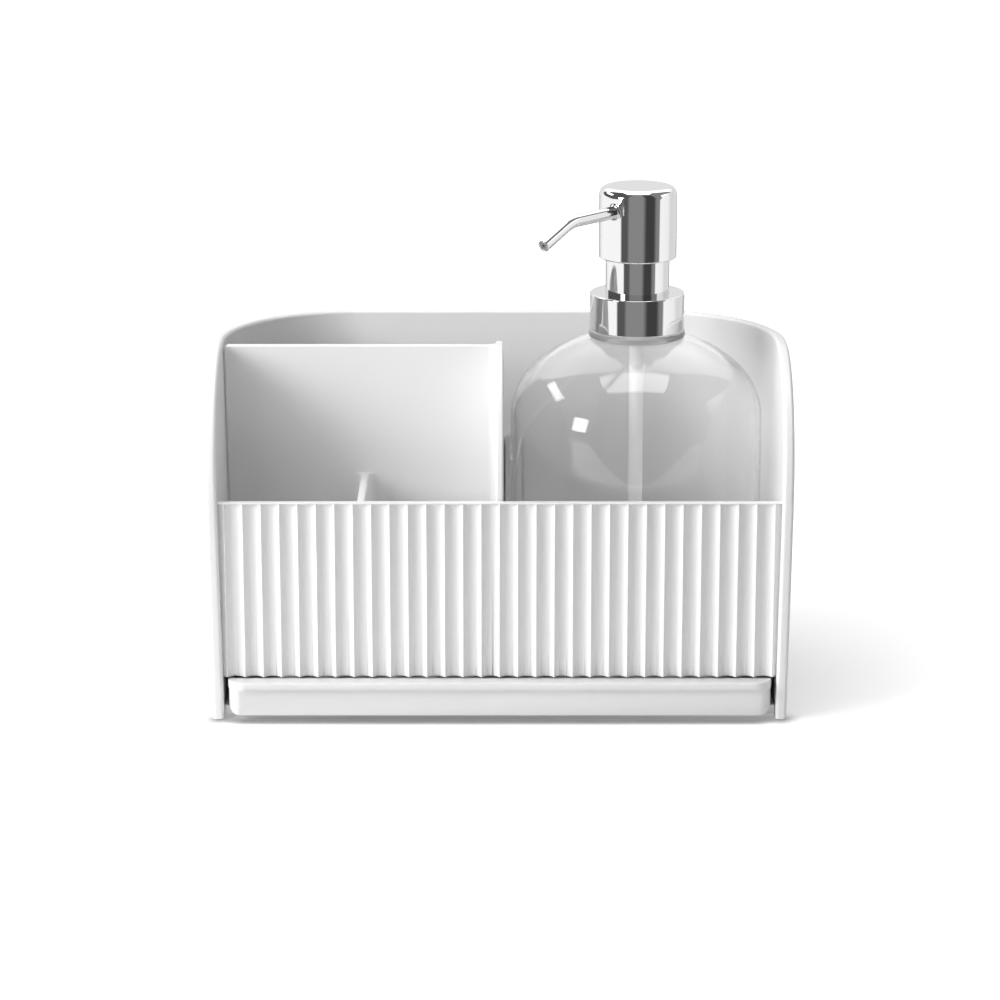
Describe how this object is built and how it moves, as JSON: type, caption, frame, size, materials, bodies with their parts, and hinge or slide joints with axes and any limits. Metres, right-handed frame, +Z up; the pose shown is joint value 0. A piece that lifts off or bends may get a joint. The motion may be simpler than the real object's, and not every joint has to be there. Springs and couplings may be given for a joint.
{
  "type": "soap pump caddy",
  "caption": "White vanity caddy with a fluted front, divided bins, a pull-out drip tray and a clear round-shouldered bottle with a chrome pump.",
  "frame": {"origin": "on the surface that the caddy stands on, under the middle of its bounding box", "axes": "+Z up, +X to the right of someone who faces the fluted front, +Y to the rounded back"},
  "size_m": [0.206, 0.1116, 0.1812],
  "materials": {
    "white_plastic": "satin",
    "clear_plastic": "gloss",
    "chrome": "polished",
    "natural_plastic": "satin",
    "grey_plastic": "satin",
    "seal_rubber": "matte",
    "seal_foam": "matte",
    "foot_rubber": "matte",
    "spring_steel": "bright drawn wire",
    "valve_steel": "ground"
  },
  "bodies": {
    "caddy": {"caddy_shell": "white_plastic", "base_plate": "white_plastic", "foot_front_left": "foot_rubber", "foot_front_right": "foot_rubber", "foot_rear_left": "foot_rubber", "foot_rear_right": "foot_rubber"},
    "partition": {"partition_insert": "white_plastic"},
    "tray": {"drip_tray": "white_plastic"},
    "bottle": {"bottle": "clear_plastic"},
    "pump_body": {"pump_housing": "natural_plastic", "neck_gasket": "seal_foam", "chamber_lock": "natural_plastic", "dip_tube": "natural_plastic", "return_spring": "spring_steel"},
    "collar": {"collar_shell": "chrome", "closure_cap": "natural_plastic", "sleeve": "chrome"},
    "plunger": {"stem": "natural_plastic", "piston_seal": "seal_rubber"},
    "head": {"head_cap": "chrome", "head_core": "natural_plastic", "spout_tube": "chrome", "spout_nozzle": "grey_plastic"},
    "inlet_valve": {"inlet_ball": "valve_steel"},
    "outlet_valve": {"outlet_ball": "valve_steel"}
  },
  "joints": [
    {"name": "tray_pull", "type": "slide", "parent": "caddy", "child": "tray", "axis": [0, -1, 0], "range_m": [0, 0.105]},
    {"name": "partition_lift", "type": "slide", "parent": "caddy", "child": "partition", "axis": [0, 0, 1], "range_m": [0, 0.11]},
    {"name": "bottle_lift", "type": "slide", "parent": "caddy", "child": "bottle", "axis": [0, 0, 1], "range_m": [0, 0.13]},
    {"name": "pump_lift", "type": "slide", "parent": "bottle", "child": "pump_body", "axis": [0, 0, 1], "range_m": [0, 0.12]},
    {"name": "collar_turn", "type": "hinge", "parent": "pump_body", "child": "collar", "pos_m": [0.0493, 0.0043, 0.1361], "axis": [0, 0, 1], "continuous": true},
    {"name": "pump_press", "type": "slide", "parent": "pump_body", "child": "plunger", "axis": [0, 0, -1], "range_m": [0, 0.012], "stiffness_N_per_m": 300, "springref_m": -0.005, "deforming": ["return_spring"]},
    {"name": "head_turn", "type": "hinge", "parent": "plunger", "child": "head", "pos_m": [0.0493, 0.0043, 0.1654], "axis": [0, 0, 1], "continuous": true},
    {"name": "inlet_lift", "type": "slide", "parent": "pump_body", "child": "inlet_valve", "axis": [0, 0, 1], "range_m": [0, 0.0015]},
    {"name": "outlet_lift", "type": "slide", "parent": "plunger", "child": "outlet_valve", "axis": [0, 0, 1], "range_m": [0, 0.0012]}
  ]
}
